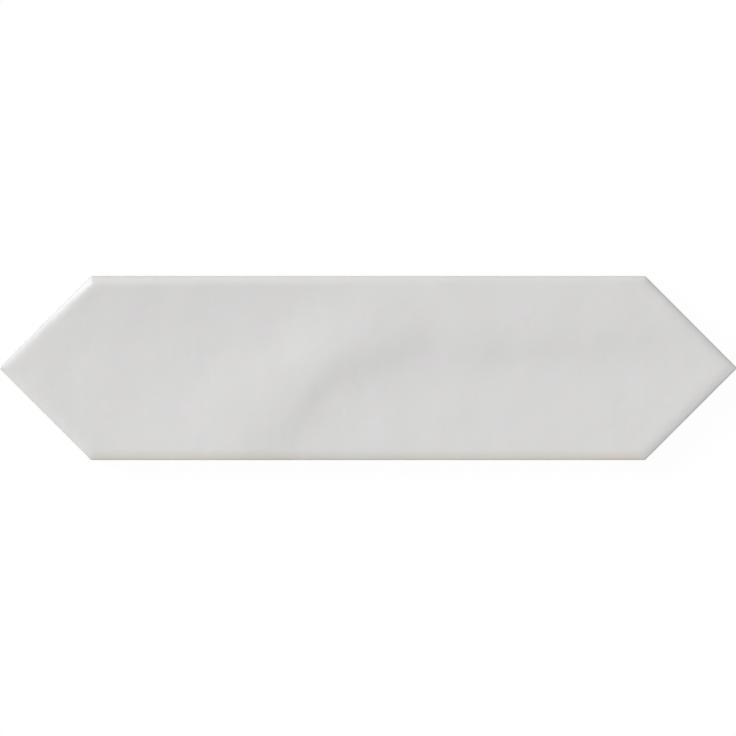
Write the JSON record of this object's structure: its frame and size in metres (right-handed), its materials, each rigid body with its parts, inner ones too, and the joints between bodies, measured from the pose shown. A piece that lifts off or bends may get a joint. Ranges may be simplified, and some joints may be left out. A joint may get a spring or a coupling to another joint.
{
  "type": "wall tile",
  "caption": "Pointed (picket) wall tile in glossy pale grey glaze, 300 x 75 mm, with rounded edges, a soft wave across the face and a ribbed back.",
  "frame": {"origin": "middle of the back, on the plane of its ribs, where the tile rests when it lies flat", "axes": "+X along the length towards the right-hand point, +Y across the width towards the long edge with the lip, +Z out of the glazed face"},
  "size_m": [0.3, 0.075, 0.0092],
  "materials": {
    "glazed_clay": "gloss"
  },
  "bodies": {
    "root": {"tile": "glazed_clay"}
  },
  "joints": []
}
